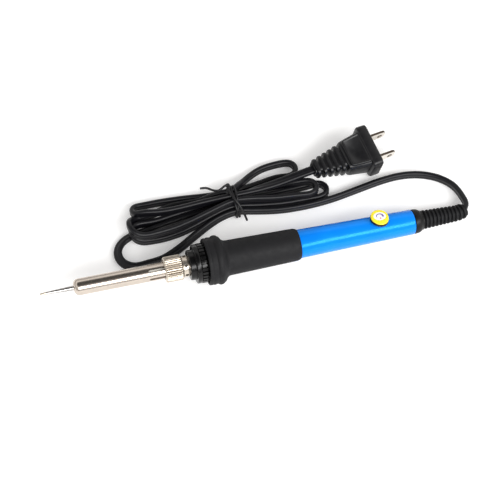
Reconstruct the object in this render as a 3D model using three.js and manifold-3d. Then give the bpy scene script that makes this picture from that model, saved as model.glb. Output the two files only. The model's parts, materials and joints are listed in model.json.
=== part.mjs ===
// Soldering iron with a temperature knob, its flat cord tied in a hank, and a two-blade plug.
// Units are millimetres, +Z is up. The iron lies along X with its tip at -X, and the origin is
// on the table under the middle of the iron.
import * as THREE from 'three';
import { mergeVertices } from 'three/addons/utils/BufferGeometryUtils.js';
import Module from 'manifold-3d';

const wasm = await Module();
wasm.setup();

// ---------------------------------------------------------------- driving dimensions
const GAP = 0.3; // clearance between pieces that touch
const ROUND = 32; // sides of the larger turned pieces
const SMALL_ROUND = 16; // sides of the small ones

// stations along the iron's own axis, measured from the point of the tip
const TIP_EXPOSED = 17;
const BARREL_END = 66.5;
const NUT_START = 63.9;
const NUT_END = 73.2;
const COLLAR_END = 76.4;
const BASE_END = 85.5;
const GRIP_START = 85.8;
const GRIP_BULGE = 92.1;
const GRIP_END = 135.8;
const TUBE_FRONT = 103;
const TUBE_END = 199.5;
const KNOB_AT = 180.1;
const CAP_END = 205.1;
const RELIEF_STRAIGHT = 224.1;

// outer radii
const BARREL_R = 4.4;
const NUT_R = 6.7;
const GRIP_BULGE_R = 13;
const TUBE_FRONT_R = 7.65;
const TUBE_END_R = 6.7;
const KNOB_R = 4.7;
const TUBE_WALL = 1.1;
const HEATER_R = 1.95;
const LIP_R = 11.7; // outside of the flat lip at the front of the grip
const LIP_BORE_R = 10.7; // inside of it, where the heater's base stands in the grip
const LIP_DEPTH = 0.8;

// the flat cord, standing on its edge
const CORD_WIDTH = 5;
const CORD_THICK = 3;

// The iron rests on the bulge of its grip and on the rear rim of its tube, which tilts it.
const PITCH = Math.atan((GRIP_BULGE_R - TUBE_END_R) / (TUBE_END - GRIP_BULGE));

// ---------------------------------------------------------------- materials
const material = (color, roughness, metalness = 0) =>
  new THREE.MeshStandardMaterial({ color, roughness, metalness });
const plated = material(0xd8cfc6, 0.22, 1);
const nickel = material(0xd9cdbb, 0.28, 1);
const tinned = material(0xb9b4ae, 0.25, 1);
const alumina = material(0xf1ede4, 0.6);
const blackPlastic = material(0x1d1d20, 0.42);
const rubber = material(0x232326, 0.75);
const bluePlastic = material(0x1e90ff, 0.16);
const yellowPlastic = material(0xffe21f, 0.35);
const labelWhite = material(0xf4f4f0, 0.4);
const boardGreen = material(0x1f6b3a, 0.5);
const componentBlack = material(0x18181a, 0.5);
const componentRed = material(0x9c3b22, 0.45);
const resistorTan = material(0xc9a878, 0.5);
const glassOrange = material(0xc8622a, 0.15);
const wireBrown = material(0x6b3a1c, 0.5);
const wireBlue = material(0x2a5db0, 0.5);
const glassSleeve = material(0xe9e2cf, 0.8);
const cordBlack = material(0x1a1a1d, 0.4);
const tieBlack = material(0x141416, 0.5);

// ---------------------------------------------------------------- geometry helpers
const V2 = (x, y) => new THREE.Vector2(x, y);
const V3 = (x, y, z) => new THREE.Vector3(x, y, z);

// A solid of revolution about X. The profile lists [station, radius] and is closed.
function turned(profile, sides = ROUND) {
  const lathe = new THREE.LatheGeometry(profile.map(([s, r]) => V2(r, s)), sides);
  return lathe.rotateZ(-Math.PI / 2);
}

// A tubular profile: the outside from front to rear, then the bore from rear to front.
const closed = (outside, bore) => [...outside, ...bore.reverse(), outside[0]];

// Points of a circular arc as [station, radius] pairs, from one angle to another in degrees.
function arc(station, radius, size, from, to, steps) {
  const points = [];
  for (let i = 0; i <= steps; i++) {
    const angle = THREE.MathUtils.degToRad(from + ((to - from) * i) / steps);
    points.push([station + size * Math.cos(angle), radius + size * Math.sin(angle)]);
  }
  return points;
}

function toManifold(geometry) {
  const bare = geometry.clone();
  bare.deleteAttribute('normal');
  bare.deleteAttribute('uv');
  const merged = mergeVertices(bare, 1e-4);
  const index = Array.from(merged.index.array);
  const triangles = [];
  for (let i = 0; i < index.length; i += 3) {
    const [a, b, c] = index.slice(i, i + 3);
    if (a !== b && b !== c && a !== c) triangles.push(a, b, c);
  }
  return new wasm.Manifold(new wasm.Mesh({
    numProp: 3,
    vertProperties: new Float32Array(merged.attributes.position.array),
    triVerts: new Uint32Array(triangles),
  }));
}

function fromManifold(solid) {
  const { vertProperties, triVerts } = solid.getMesh();
  const geometry = new THREE.BufferGeometry();
  geometry.setAttribute('position', new THREE.BufferAttribute(vertProperties, 3));
  geometry.setIndex(new THREE.BufferAttribute(triVerts, 1));
  const flat = geometry.toNonIndexed();
  flat.computeVertexNormals();
  return flat;
}

function join(...geometries) {
  return fromManifold(geometries.map(toManifold).reduce((all, next) => all.add(next)));
}

function cut(geometry, ...tools) {
  return fromManifold(tools.map(toManifold).reduce((all, next) => all.subtract(next), toManifold(geometry)));
}

const common = (a, b) => fromManifold(toManifold(a).intersect(toManifold(b)));

// A box given by its lowest and highest corners.
function block([x0, y0, z0], [x1, y1, z1]) {
  const box = new THREE.BoxGeometry(x1 - x0, y1 - y0, z1 - z0);
  return box.translate((x0 + x1) / 2, (y0 + y1) / 2, (z0 + z1) / 2);
}

// A round bar along X, Y or Z.
function bar(axis, radius, length, centre, sides = SMALL_ROUND) {
  const cylinder = new THREE.CylinderGeometry(radius, radius, length, sides);
  if (axis === 'x') cylinder.rotateZ(-Math.PI / 2);
  if (axis === 'z') cylinder.rotateX(Math.PI / 2);
  return cylinder.translate(...centre);
}

// A closed outline of teeth that alternate between two radii.
function toothed(outer, inner, teeth) {
  const points = [];
  for (let i = 0; i < teeth * 4; i++) {
    const angle = (2 * Math.PI * (i + 0.5)) / (teeth * 4);
    const radius = i % 4 < 2 ? outer : inner;
    points.push(V2(radius * Math.cos(angle), radius * Math.sin(angle)));
  }
  return new THREE.Shape(points);
}

// A shape in the YZ plane extruded along X from one station to another.
function prism(shape, from, to) {
  const solid = new THREE.ExtrudeGeometry(shape, { depth: to - from, bevelEnabled: false, curveSegments: 8 });
  return solid.rotateY(Math.PI / 2).translate(from, 0, 0);
}

// A tube with the given section that follows a curve.
function tube(curve, section, steps) {
  return new THREE.ExtrudeGeometry(section, { steps, extrudePath: curve, bevelEnabled: false });
}

function roundSection(radius, sides = 8) {
  const points = [];
  for (let i = 0; i < sides; i++) {
    const angle = (2 * Math.PI * i) / sides;
    points.push(V2(radius * Math.cos(angle), radius * Math.sin(angle)));
  }
  return new THREE.Shape(points);
}

// The cord's flat section with clipped corners; its width lies along the section's own X.
function flatSection(width, thick) {
  const w = width / 2;
  const t = thick / 2;
  const c = 0.9;
  return new THREE.Shape([
    V2(w - c, -t), V2(w, c - t), V2(w, t - c), V2(w - c, t),
    V2(c - w, t), V2(-w, t - c), V2(-w, c - t), V2(c - w, -t),
  ]);
}

function addPart(parent, name, geometry, look) {
  const mesh = new THREE.Mesh(geometry, look);
  mesh.name = name;
  parent.add(mesh);
  return mesh;
}

// ---------------------------------------------------------------- heating end
function makeTip() {
  const profile = [
    [0, 0], [0.15, 0.4], [3, 0.62], [TIP_EXPOSED, 1.2], [19.4, 1.3], [19.4, 3.25], [43, 3.25],
    [44, 2.9], [44, 2.35], [26, 2.35], [25.2, 0],
  ];
  return turned(profile, 24);
}

function makeBarrel() {
  const shoulder = arc(TIP_EXPOSED + 2.8, BARREL_R - 2.8, 2.8, 180, 90, 6);
  const outside = [[TIP_EXPOSED, 1.55], ...shoulder, [65.5, BARREL_R], [65.5, 5.4], [BARREL_END, 5.4]];
  const bore = [[19, 1.55], [19, 3.85], [BARREL_END, 3.85]];
  const slots = [];
  for (let i = 0; i < 6; i++) {
    const angle = THREE.MathUtils.degToRad(24 + 60 * i);
    slots.push(block([55.5, -0.7, 3], [64.5, 0.7, 6]).rotateX(angle));
  }
  return cut(turned(closed(outside, bore)), ...slots);
}

function makeNut() {
  const knurl = prism(toothed(NUT_R, NUT_R - 0.4, 36), NUT_START, NUT_END);
  const chamfered = turned([
    [NUT_START, 0], [NUT_START, NUT_R - 0.6], [NUT_START + 0.5, NUT_R], [NUT_END - 0.5, NUT_R],
    [NUT_END, NUT_R - 0.6], [NUT_END, 0],
  ], 72);
  const bore = turned([
    [NUT_START - 1, 0], [NUT_START - 1, 4.75], [65.1, 4.75], [65.1, 5.8], [NUT_END + 1, 5.8],
    [NUT_END + 1, 0],
  ]);
  return cut(common(knurl, chamfered), bore);
}

function makeCollar() {
  const outside = [
    [66.9, 5.4], [NUT_END + GAP, 5.4], [NUT_END + GAP, 5.6], [COLLAR_END, 5.6], [COLLAR_END, 4.9],
    [79, 4.9],
  ];
  const bore = [[66.9, 4.3], [79, 4.3]];
  const vents = [];
  for (let i = 0; i < 6; i++) {
    vents.push(bar('z', 0.9, 3, [74.9, 0, 5.2], 12).rotateX((Math.PI * (2 * i + 1)) / 6));
  }
  return cut(turned(closed(outside, bore)), ...vents);
}

function makeHeaterCore() {
  return turned([
    [27.2, 0], [27.2, 1.6], [27.8, HEATER_R], [81.3, HEATER_R], [81.3, 4.3], [84, 4.3], [84, 0],
  ], SMALL_ROUND);
}

function makeHeaterBase() {
  const front = [[76.7, 7.5], [77.1, 7.9], [80, 7.9], [80, 10.2], [82.1, 10.2], [82.1, 9.8]];
  const rear = [[BASE_END, 9.8], [BASE_END, 7.4], [100, 7.4]];
  const bore = [[76.7, 5.2], [79.4, 5.2], [79.4, 2.4], [81, 2.4], [81, 4.6], [100, 4.6]];
  const body = turned(closed([...front, ...rear], bore));
  const ribs = cut(prism(toothed(10.4, 9.7, 30), 82.1, BASE_END), bar('x', 9, 20, [84, 0, 0], ROUND));
  return join(body, ribs);
}

// A heater lead in its glass sleeve, from the heater's flange back to the circuit board.
function makeHeaterLead(side) {
  const route = new THREE.CatmullRomCurve3([
    V3(84.5, side * 1.6, 0), V3(96, side * 1.9, 0.6), V3(110, side * 2.6, 1.4),
    V3(124, side * 2.4, 0.4), V3(139.4, side * 2.6, -1.3),
  ]);
  return tube(route, roundSection(0.6, 6), 16);
}

// ---------------------------------------------------------------- handle
function makeGrip() {
  const outside = [
    [GRIP_START, LIP_R], [86.3, 12.25], [87.4, 12.3], [88.2, 12.6],
    ...arc(GRIP_BULGE, GRIP_BULGE_R - 2.2, 2.2, 130, 30, 5),
    [95.4, 10.4], [96.8, 9.3], [99, 9.2], [133.7, 8.6], [135, 8.35], [GRIP_END, 7.9],
  ];
  const seat = GRIP_START + LIP_DEPTH;
  const bore = [[GRIP_START, LIP_BORE_R], [seat, LIP_BORE_R], [seat, 7.8], [GRIP_END, 7.8]];
  return turned(closed(outside, bore), 40);
}

function tubeRadius(station) {
  const along = (station - GRIP_END) / (TUBE_END - GRIP_END);
  return TUBE_FRONT_R + along * (TUBE_END_R - TUBE_FRONT_R);
}

function makeHandleTube() {
  const outside = [
    [TUBE_FRONT, 7.1], [TUBE_FRONT + 0.5, 7.5], [GRIP_END + GAP, 7.5], [GRIP_END + GAP, TUBE_FRONT_R],
    [TUBE_END - 0.4, tubeRadius(TUBE_END - 0.4)], [TUBE_END, TUBE_END_R],
  ];
  const bore = [[TUBE_FRONT, 6.3], [GRIP_END, 6.3], [TUBE_END, TUBE_END_R - TUBE_WALL]];
  const shaftHole = bar('z', 2.2, 6, [KNOB_AT, 0, 6]);
  return cut(turned(closed(outside, bore), 40), shaftHole);
}

function makeEndCap() {
  const outside = [
    [194, 5.2], [TUBE_END + GAP, 5.2], [TUBE_END + GAP, 6.7], [202, 6.5], [203.9, 5.9],
    [CAP_END, 5.2],
  ];
  const bore = [[194, 3.5], [CAP_END, 3.5]];
  return turned(closed(outside, bore));
}

// ---------------------------------------------------------------- electronics
function makeBoard() {
  return block([140, -4.6, -2.1], [186.8, 4.6, -0.9]);
}

function makePotentiometer() {
  return block([KNOB_AT - 4, -4, -0.6], [KNOB_AT + 4, 4, 3]);
}

function makeShaft() {
  return cut(bar('z', 1.5, 5.1, [KNOB_AT, 0, 5.9]), block([KNOB_AT - 0.4, -2, 7.6], [KNOB_AT + 0.4, 2, 9]));
}

function makeTriac() {
  const body = bar('x', 2.3, 4.6, [162, 0, 1.9]);
  const flatSide = block([159, -3, -3], [165, 3, 0.2]);
  const legs = [-1.2, 0, 1.2].map((y) => block([157, y - 0.25, 0.6], [160, y + 0.25, 1.1]));
  return cut(join(body, ...legs), flatSide);
}

const makeCapacitor = () => block([144, -3, -0.6], [153, 3, 3.9]);

function makeAxialPart(station, y, radius, length) {
  const z = -0.6 + radius;
  return join(bar('x', radius, length, [station, y, z], 12), bar('x', 0.3, length + 4, [station, y, z], 8));
}

function makeMainsWire(side) {
  const route = new THREE.CatmullRomCurve3([
    V3(189.8, side * 1.2, 0), V3(189.1, side * 1.6, -2.4), V3(185, side * 2.1, -3.5),
    V3(176, side * 2, -3.3),
  ]);
  return tube(route, roundSection(0.65, 6), 12);
}

function makeCordClip() {
  return cut(bar('x', 5.1, 2, [192.8, 0, 0], 24), block([190, -1.8, -2.8], [195, 1.8, 2.8]));
}

function makeInnerCord() {
  return block([190.9, -CORD_THICK / 2, -CORD_WIDTH / 2], [204.5, CORD_THICK / 2, CORD_WIDTH / 2]);
}

// ---------------------------------------------------------------- temperature knob
// The knob's outline is a circle drawn out at its pointer, which points towards the front.
const POINTER_ANGLE = THREE.MathUtils.degToRad(-75);
const POINTER_REACH = 0.13; // how much of the radius it is drawn out by

function knobOutline(radius) {
  const points = [];
  for (let i = 0; i < 36; i++) {
    const angle = (2 * Math.PI * i) / 36;
    const reach = radius * (1 + POINTER_REACH * Math.max(0, Math.cos(angle - POINTER_ANGLE)) ** 3);
    points.push(V2(reach * Math.cos(angle), reach * Math.sin(angle)));
  }
  return new THREE.Shape(points);
}

function plate(shape, bottom, top) {
  const solid = new THREE.ExtrudeGeometry(shape, {
    depth: top - bottom, bevelEnabled: false, curveSegments: 24,
  });
  return solid.translate(0, 0, bottom);
}

function labelOutline(grow) {
  const shape = new THREE.Shape();
  shape.absellipse(0, 0, 3.1 + grow, 2.5 + grow, 0, 2 * Math.PI, false, 0);
  return shape;
}

function makeKnob() {
  const disc = plate(knobOutline(KNOB_R), 8.5, 10);
  return cut(disc, plate(labelOutline(GAP), 9.4, 11));
}

function makeKnobSkirt() {
  const skirt = plate(knobOutline(KNOB_R + 0.1), 7.3, 8.2);
  return cut(skirt, bar('z', 1.8, 4, [0, 0, 8]));
}

const makeDialLabel = () => plate(labelOutline(0), 9.7, 10.05);

// ---------------------------------------------------------------- strain relief
// The relief runs straight back and then bends towards +Y, where the cord turns off.
const RELIEF_BEND_R = 15;
const RELIEF_BEND = THREE.MathUtils.degToRad(22);
const RELIEF_RIBS = 11;

// A place on the relief's centreline at a distance from its start, and its direction there.
function reliefAt(distance) {
  const straight = RELIEF_STRAIGHT - CAP_END;
  const angle = Math.max(0, distance - straight) / RELIEF_BEND_R;
  const s = CAP_END + Math.min(distance, straight) + RELIEF_BEND_R * Math.sin(angle);
  const y = RELIEF_BEND_R * (1 - Math.cos(angle));
  return { point: V3(s, y, 0), angle };
}

const RELIEF_LENGTH = RELIEF_STRAIGHT - CAP_END + RELIEF_BEND_R * RELIEF_BEND;

class ReliefCurve extends THREE.Curve {
  getPoint(t, target = V3(0, 0, 0)) {
    return target.copy(reliefAt(GAP + t * (RELIEF_LENGTH - GAP)).point);
  }
}

function makeStrainRelief() {
  const core = tube(new ReliefCurve(), roundSection(3.7, 12), 14);
  const pieces = [core];
  for (let i = 0; i < RELIEF_RIBS; i++) {
    const along = 1 + ((RELIEF_LENGTH - 1.7) * i) / (RELIEF_RIBS - 1);
    const { point, angle } = reliefAt(along);
    const rib = bar('x', 5.1 - (0.9 * i) / RELIEF_RIBS, 1.1, [0, 0, 0], 16);
    pieces.push(rib.rotateZ(angle).translate(point.x, point.y, point.z));
  }
  return join(...pieces);
}

// ---------------------------------------------------------------- the iron
const iron = new THREE.Group();
iron.rotation.y = PITCH;

addPart(iron, 'tip', makeTip(), tinned);
addPart(iron, 'barrel', makeBarrel(), plated);
addPart(iron, 'retaining_nut', makeNut(), nickel);
addPart(iron, 'heater_collar', makeCollar(), nickel);
addPart(iron, 'heater_core', makeHeaterCore(), alumina);
addPart(iron, 'heater_base', makeHeaterBase(), blackPlastic);
addPart(iron, 'heater_lead_a', makeHeaterLead(1), glassSleeve);
addPart(iron, 'heater_lead_b', makeHeaterLead(-1), glassSleeve);
addPart(iron, 'grip_sleeve', makeGrip(), rubber);
addPart(iron, 'handle_tube', makeHandleTube(), bluePlastic);
addPart(iron, 'end_cap', makeEndCap(), blackPlastic);
addPart(iron, 'strain_relief', makeStrainRelief(), rubber);

addPart(iron, 'circuit_board', makeBoard(), boardGreen);
addPart(iron, 'potentiometer_body', makePotentiometer(), componentBlack);
addPart(iron, 'triac', makeTriac(), componentBlack);
addPart(iron, 'capacitor', makeCapacitor(), componentRed);
addPart(iron, 'resistor_1', makeAxialPart(170, 2.6, 1.1, 6), resistorTan);
addPart(iron, 'resistor_2', makeAxialPart(170, -2.6, 1.1, 6), resistorTan);
addPart(iron, 'diac', makeAxialPart(170, 0, 0.9, 3.6), glassOrange);
addPart(iron, 'live_wire', makeMainsWire(1), wireBrown);
addPart(iron, 'neutral_wire', makeMainsWire(-1), wireBlue);
addPart(iron, 'cord_clip', makeCordClip(), blackPlastic);
addPart(iron, 'cord_inside', makeInnerCord(), cordBlack);

// The knob and what turns with it, rolled a little towards the back about the iron's axis.
const knobRoll = new THREE.Group();
knobRoll.rotation.x = THREE.MathUtils.degToRad(-6);
iron.add(knobRoll);
addPart(knobRoll, 'potentiometer_shaft', makeShaft(), componentBlack);
const knobGroup = new THREE.Group();
knobGroup.position.set(KNOB_AT, 0, 0);
knobRoll.add(knobGroup);
addPart(knobGroup, 'temperature_knob', makeKnob(), yellowPlastic);
addPart(knobGroup, 'knob_skirt', makeKnobSkirt(), blackPlastic);
addPart(knobGroup, 'dial_label', makeDialLabel(), labelWhite);

// Stand the iron on the table with its middle over the origin.
const reach = new THREE.Box3().setFromObject(iron, true);
iron.position.set(-(reach.min.x + reach.max.x) / 2, 0, -reach.min.z);
iron.updateMatrixWorld(true);

// ---------------------------------------------------------------- cord
const CORD_Z = CORD_WIDTH / 2 + 0.1; // height of the cord's middle where it lies on the table
const TIE_X = -4;
const TIE_Y = 39.4; // middle of the bundle at the tie
const TIE_HALF = 8.2; // half the bundle's width there

// The lead from the strain relief to the hank, in a turn of its own and then a slack wave.
const reliefEnd = iron.localToWorld(reliefAt(RELIEF_LENGTH + GAP + 0.15).point.clone());
const leadRoute = new THREE.CatmullRomCurve3([
  reliefEnd,
  V3(115.7, 2.1, 5), V3(116.7, 3.8, 4.8), V3(117, 6, 4.4), V3(117, 8.6, 4), V3(116.8, 11.5, 3.5),
  V3(116.5, 14.6, 3.1), V3(115.3, 18.9, 2.8), V3(112.3, 23.4, CORD_Z), V3(107.9, 27.3, CORD_Z),
  V3(102, 30.5, CORD_Z), V3(94.5, 32.7, CORD_Z), V3(85.5, 33.4, CORD_Z), V3(76, 32.6, CORD_Z),
  V3(67, 31.2, CORD_Z), V3(58.5, 29.8, CORD_Z), V3(50, 28.5, CORD_Z), V3(40, 27.4, CORD_Z),
], false, 'centripetal');

// The hank's outline: two round lobes joined by the waist that the tie holds.
function hankOutline() {
  const left = { x: -53, y: 33, r: 21.5 };
  const right = { x: 31, y: 44.5, r: 17.5 };
  const lower = TIE_Y - TIE_HALF;
  const upper = TIE_Y + TIE_HALF;
  const shape = new THREE.Shape();
  shape.moveTo(TIE_X, lower);
  shape.quadraticCurveTo(14, 27.6, right.x, right.y - right.r);
  shape.absarc(right.x, right.y, right.r, -Math.PI / 2, Math.PI / 2, false);
  shape.quadraticCurveTo(14, 60, TIE_X, upper);
  shape.quadraticCurveTo(-30, 54.5, left.x, left.y + left.r);
  shape.absarc(left.x, left.y, left.r, Math.PI / 2, 1.5 * Math.PI, false);
  shape.quadraticCurveTo(-30, 13, TIE_X, lower);
  return shape;
}

const TIE_THICK = 1.2;
const HANK_TOP = 5.1;
const LUMP_TOP = 11.7; // the turns that lie on others along the waist
const FOLD_TOP = 13.4; // the folds that pass over the largest turn

function makeHank() {
  const flat = new THREE.ExtrudeGeometry(hankOutline(), {
    depth: HANK_TOP, bevelEnabled: false, curveSegments: 14,
  });
  const lump = block([-56, TIE_Y - TIE_HALF + 0.2, 1], [0, TIE_Y + TIE_HALF - 0.2, LUMP_TOP]);
  const folds = bar('z', 8.2, FOLD_TOP - 1, [-56.1, 34.5, (FOLD_TOP + 1) / 2]);
  const channel = (y0, y1, top) => block([TIE_X - 1.6, y0, -1], [TIE_X + 1.6, y1, top]);
  const under = channel(0, 80, TIE_THICK + GAP);
  const before = channel(0, TIE_Y - TIE_HALF, LUMP_TOP + 1);
  const behind = channel(TIE_Y + TIE_HALF, 80, LUMP_TOP + 1);
  return cut(join(flat, lump, folds), under, before, behind);
}

// The twist tie: a band round the waist, the twisted knot on top and two loose ends.
function makeTie() {
  const inside = TIE_HALF + GAP;
  const outside = inside + TIE_THICK;
  const top = LUMP_TOP + GAP;
  const band = new THREE.Shape([
    V2(-outside, 0), V2(outside, 0), V2(outside, top + TIE_THICK), V2(-outside, top + TIE_THICK),
  ]);
  band.holes.push(new THREE.Path([
    V2(-inside, TIE_THICK), V2(-inside, top), V2(inside, top), V2(inside, TIE_THICK),
  ]));
  const ring = new THREE.ExtrudeGeometry(band, { depth: 2, bevelEnabled: false });
  ring.rotateX(Math.PI / 2).rotateZ(Math.PI / 2).translate(TIE_X - 1, TIE_Y, 0);
  const knot = bar('y', 1.3, 5, [TIE_X, TIE_Y + 4, top + 1.6], 12);
  const loose = (points) => tube(new THREE.CatmullRomCurve3(points), roundSection(0.7, 6), 10);
  const rear = loose([V3(-4, 42, 13.6), V3(-11, 46, 14.3), V3(-19, 47.6, 13.4)]);
  const front = loose([V3(-4, 43, 13.6), V3(-2.4, 36, 14.7), V3(-0.7, 30.2, 12.6), V3(0.6, 26.6, 6.8)]);
  return join(ring, knot, rear, front);
}

// ---------------------------------------------------------------- plug
// The plug lies rolled on one lower edge with its rear end on the cord, which dips its blades.
const PLUG_FRONT = V3(77.6, 50, 0); // its height is set once it is built
const PLUG_TURN = THREE.MathUtils.degToRad(9.6);
const PLUG_DIP = THREE.MathUtils.degToRad(2);
const PLUG_ROLL = THREE.MathUtils.degToRad(13);
const PLUG_BODY = 18.5; // length of the solid body behind the front face
const PLUG_LENGTH = 36.5;
const BLADE_SPACING = 12.7;
const BLADE_WIDTH = 6.35;
const BLADE_THICK = 1.5;
const BLADE_REACH = 11;
const BLADE_ROOT = 7;

// A box whose two ends differ in size, along X between two stations, centred on the X axis.
function frustum(from, fromWidth, fromHeight, to, toWidth, toHeight, corner) {
  const ring = (x, w, h) => [
    [w - corner, -h], [w, corner - h], [w, h - corner], [w - corner, h],
    [corner - w, h], [-w, h - corner], [-w, corner - h], [corner - w, -h],
  ].map(([y, z]) => [x, y, z]);
  const rear = ring(from, fromWidth / 2, fromHeight / 2);
  const front = ring(to, toWidth / 2, toHeight / 2);
  const corners = [];
  for (let i = 0; i < front.length; i++) {
    const j = (i + 1) % front.length;
    corners.push(rear[i], rear[j], front[j], rear[i], front[j], front[i]);
  }
  for (let i = 1; i < front.length - 1; i++) {
    corners.push(front[0], front[i], front[i + 1], rear[0], rear[i + 1], rear[i]);
  }
  const geometry = new THREE.BufferGeometry();
  geometry.setAttribute('position', new THREE.Float32BufferAttribute(corners.flat(), 3));
  geometry.setIndex(corners.map((_, i) => i));
  geometry.computeVertexNormals();
  return geometry;
}

function makePlugBody() {
  const pieces = [
    frustum(-6, 25.6, 15.6, 0, 25.6, 15.6, 2.2),
    frustum(-PLUG_BODY, 17.5, 11, -5.5, 23.4, 14.2, 2.4),
    frustum(-PLUG_LENGTH, 7.6, 7.4, -PLUG_BODY + 1, 13, 9, 1.8),
  ];
  for (let i = 0; i < 5; i++) {
    const x = -PLUG_BODY - 2.4 - i * 3.4;
    const width = 16 - i * 1.45;
    const height = 9.6 - i * 0.45;
    pieces.push(frustum(x - 1, width - 0.5, height - 0.3, x + 1, width, height, 2));
  }
  const slots = [-1, 1].map((side) => block(
    [-BLADE_ROOT - 0.5, (side * BLADE_SPACING) / 2 - 1.05, -3.5],
    [1, (side * BLADE_SPACING) / 2 + 1.05, 3.5],
  ));
  const panel = plate(new THREE.Shape([V2(-16, -7), V2(-3, -9), V2(-3, 9), V2(-16, 7)]), 6.6, 9);
  return cut(join(...pieces), ...slots, panel);
}

function makeBlade(side) {
  const half = BLADE_WIDTH / 2;
  const shape = new THREE.Shape([
    V2(-BLADE_ROOT, -half), V2(BLADE_REACH - 1.2, -half), V2(BLADE_REACH, -half + 1.2),
    V2(BLADE_REACH, half - 1.2), V2(BLADE_REACH - 1.2, half), V2(-BLADE_ROOT, half),
  ]);
  const hole = new THREE.Path();
  hole.absarc(BLADE_REACH - 3.4, 0, 1.5, 0, 2 * Math.PI, true);
  shape.holes.push(hole);
  const blade = new THREE.ExtrudeGeometry(shape, {
    depth: BLADE_THICK, bevelEnabled: false, curveSegments: 8,
  });
  return blade.rotateX(Math.PI / 2).translate(0, (side * BLADE_SPACING) / 2 + BLADE_THICK / 2, 0);
}

const plug = new THREE.Group();
plug.position.copy(PLUG_FRONT);
plug.rotation.set(PLUG_ROLL, PLUG_DIP, PLUG_TURN, 'ZYX');
addPart(plug, 'plug_body', makePlugBody(), cordBlack);
addPart(plug, 'plug_blade_left', makeBlade(1), nickel);
addPart(plug, 'plug_blade_right', makeBlade(-1), nickel);
plug.position.z = 0.05 - new THREE.Box3().setFromObject(plug, true).min.z;
plug.updateMatrixWorld(true);

// The tail from the plug's relief, over the hank, to the turns behind the tie.
const plugRear = plug.localToWorld(V3(-PLUG_LENGTH - GAP - 0.1, 0, 0));
const tailRoute = new THREE.CatmullRomCurve3([
  plugRear, V3(35.5, 42.8, 10.2), V3(29, 41.9, 9.3), V3(21, 41.1, 8.6), V3(11, 40.4, 8.6),
  V3(0.5, 39.9, 9),
], false, 'centripetal');

// ---------------------------------------------------------------- whole assembly
const group = new THREE.Group();
group.add(iron, plug);
addPart(group, 'cord_lead', tube(leadRoute, flatSection(CORD_WIDTH, CORD_THICK), 44), cordBlack);
addPart(group, 'cord_hank', makeHank(), cordBlack);
addPart(group, 'cord_tail', tube(tailRoute, flatSection(CORD_WIDTH, CORD_THICK), 12), cordBlack);
addPart(group, 'twist_tie', makeTie(), tieBlack);

export default group;
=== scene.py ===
"""Looks of the soldering iron: its camera and light, its cord, and a detailed piece for every outer part.

Lengths are in metres, and the sizes named below are in millimetres times MM. Stations run along the
iron's own axis from the point of its tip.
"""

import json
import math

import bmesh
import bpy
from mathutils import Matrix, Vector


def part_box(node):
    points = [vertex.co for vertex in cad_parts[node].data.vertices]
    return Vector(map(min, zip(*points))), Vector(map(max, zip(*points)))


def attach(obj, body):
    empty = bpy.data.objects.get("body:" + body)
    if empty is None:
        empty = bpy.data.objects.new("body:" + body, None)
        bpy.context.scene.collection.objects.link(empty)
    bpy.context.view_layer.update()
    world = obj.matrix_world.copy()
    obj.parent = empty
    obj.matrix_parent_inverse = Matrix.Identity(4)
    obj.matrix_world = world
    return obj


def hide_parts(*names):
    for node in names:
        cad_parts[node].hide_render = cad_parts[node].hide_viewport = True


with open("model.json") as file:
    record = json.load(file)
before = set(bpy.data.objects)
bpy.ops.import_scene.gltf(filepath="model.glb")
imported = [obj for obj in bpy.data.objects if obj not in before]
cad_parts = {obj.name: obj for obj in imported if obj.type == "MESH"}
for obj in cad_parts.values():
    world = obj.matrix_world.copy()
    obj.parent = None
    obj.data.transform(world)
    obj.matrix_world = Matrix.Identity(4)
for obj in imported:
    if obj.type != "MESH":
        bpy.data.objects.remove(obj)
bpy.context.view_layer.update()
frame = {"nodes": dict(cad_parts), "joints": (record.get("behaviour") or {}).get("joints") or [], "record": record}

MM = 0.001
X, Y, Z = Vector((1, 0, 0)), Vector((0, 1, 0)), Vector((0, 0, 1))
TURN = 2 * math.pi
scene = bpy.context.scene
joints = {joint["name"]: joint for joint in frame["joints"]}
mounts = {mount["name"]: mount for mount in frame["record"]["mounts"]}


# ---------------------------------------------------------------- frames of the iron, knob and plug
def frame_matrix(origin, along):
    """A frame whose X is the given direction and whose Y is level."""
    x = Vector(along).normalized()
    y = Z.cross(x).normalized()
    z = x.cross(y)
    return Matrix.Translation(origin) @ Matrix((x, y, z)).transposed().to_4x4()


NUT_STATION = 68  # where the nut's joint stands on the axis
axis_back = -Vector(joints["nut_turn"]["axis"])
tip_point = Vector(joints["nut_turn"]["pos_m"]) - axis_back * NUT_STATION * MM
IRON = frame_matrix(tip_point, axis_back)

KNOB_STATION = 180.1  # where the knob's axis crosses the iron's
knob_up = Vector(joints["knob_turn"]["axis"]).normalized()
knob_y = knob_up.cross(axis_back).normalized()
KNOB = Matrix.Translation(IRON @ Vector((KNOB_STATION * MM, 0, 0))) @ Matrix(
    (axis_back, knob_y, knob_up)
).transposed().to_4x4()

PLUG_ROLL_DEGREES = 13
PLUG_BODY = 18.5  # length of the moulded body behind the blades' face
PLUG_LENGTH = 36.5  # and with its ribbed relief
PLUG = frame_matrix(
    Vector(mounts["mains_face"]["pos_m"]), mounts["mains_face"]["axis"],
) @ Matrix.Rotation(math.radians(PLUG_ROLL_DEGREES), 4, "X")


# ---------------------------------------------------------------- camera
CAMERA_AT = Vector((-0.0946, -0.3269, 0.5369))
CAMERA_AZIMUTH = -15.19
CAMERA_ELEVATION = 57
CAMERA_LENS = 86.4


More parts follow.
